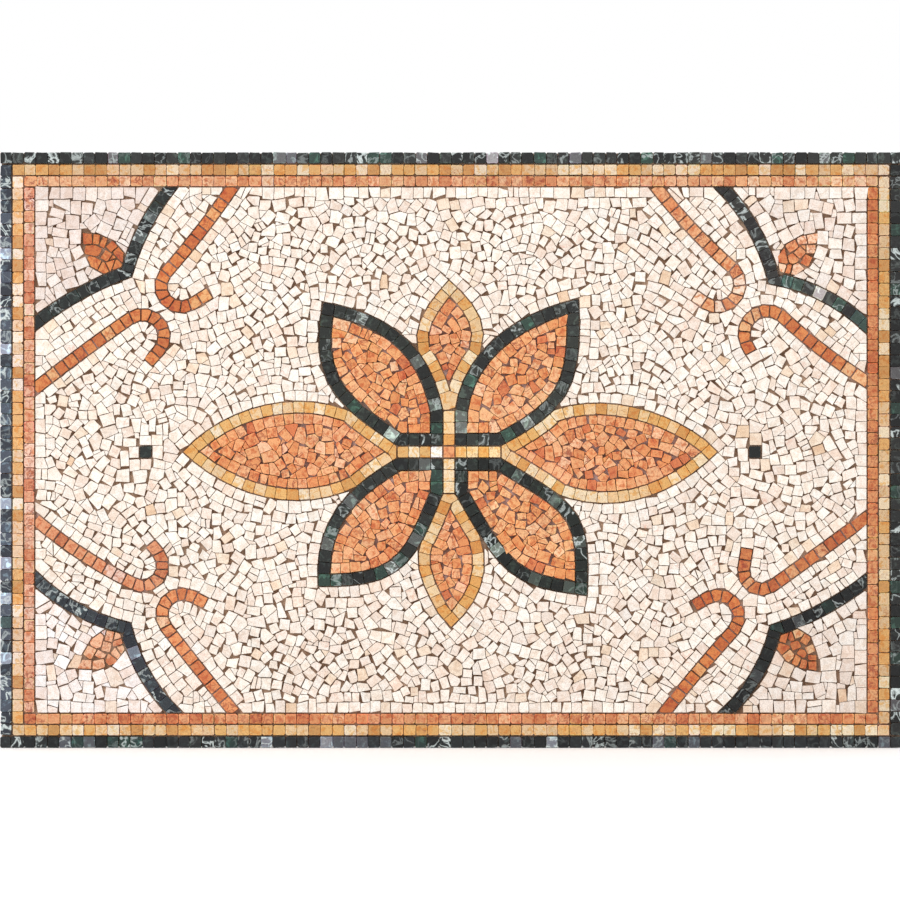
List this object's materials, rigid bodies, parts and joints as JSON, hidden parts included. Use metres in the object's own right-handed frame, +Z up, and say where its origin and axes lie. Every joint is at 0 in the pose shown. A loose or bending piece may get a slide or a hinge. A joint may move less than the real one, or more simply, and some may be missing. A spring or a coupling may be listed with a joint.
{
  "type": "mosaic panel",
  "caption": "Flat rectangular wall panel of cut marble mosaic with a floral ornament, corner motifs and a square-stone border, on a thin mesh backing.",
  "frame": {"origin": "middle of the flat back face, where it is fixed to the wall", "axes": "+X along the width (the picture's right), +Y out of the back towards the wall, +Z up the picture; the picture faces -Y"},
  "size_m": [0.902, 0.01, 0.596],
  "materials": {
    "dark_green_marble": "honed, near black with green and white veins",
    "yellow_marble": "honed, golden beige, mottled",
    "red_marble": "honed, orange red, veined",
    "cream_marble": "honed, cream to pink white",
    "mesh_and_adhesive": "glass-fibre mesh in matt grey-beige adhesive"
  },
  "bodies": {
    "root": {"border_inner_bottom": "red_marble", "border_inner_left": "red_marble", "border_inner_right": "red_marble", "border_inner_top": "red_marble", "border_middle_bottom": "yellow_marble", "border_middle_left": "yellow_marble", "border_middle_right": "yellow_marble", "border_middle_top": "yellow_marble", "border_outer_bottom": "dark_green_marble", "border_outer_left": "dark_green_marble", "border_outer_right": "dark_green_marble", "border_outer_top": "dark_green_marble", "bracket_bottom_left": "dark_green_marble", "bracket_bottom_right": "dark_green_marble", "bracket_top_left": "dark_green_marble", "bracket_top_right": "dark_green_marble", "cross_arm_bottom": "yellow_marble", "cross_arm_left": "yellow_marble", "cross_arm_right": "yellow_marble", "cross_arm_top": "yellow_marble", "cross_centre": "red_marble", "field": "cream_marble", "field_corner_bottom_left": "cream_marble", "field_corner_bottom_right": "cream_marble", "field_corner_top_left": "cream_marble", "field_corner_top_right": "cream_marble", "hook_across_bottom_left": "red_marble", "hook_across_bottom_right": "red_marble", "hook_across_top_left": "red_marble", "hook_across_top_right": "red_marble", "hook_down_bottom_left": "red_marble", "hook_down_bottom_right": "red_marble", "hook_down_top_left": "red_marble", "hook_down_top_right": "red_marble", "leaf_bottom_left": "red_marble", "leaf_bottom_right": "red_marble", "leaf_top_left": "red_marble", "leaf_top_right": "red_marble", "marker_left": "dark_green_marble", "marker_right": "dark_green_marble", "mesh_backing": "mesh_and_adhesive", "petal_bottom_fill": "red_marble", "petal_bottom_left_fill": "red_marble", "petal_bottom_left_outline": "dark_green_marble", "petal_bottom_outline": "yellow_marble", "petal_bottom_right_fill": "red_marble", "petal_bottom_right_outline": "dark_green_marble", "petal_left_fill": "red_marble", "petal_left_outline": "yellow_marble", "petal_right_fill": "red_marble", "petal_right_outline": "yellow_marble", "petal_top_fill": "red_marble", "petal_top_left_fill": "red_marble", "petal_top_left_outline": "dark_green_marble", "petal_top_outline": "yellow_marble", "petal_top_right_fill": "red_marble", "petal_top_right_outline": "dark_green_marble"}
  },
  "joints": []
}
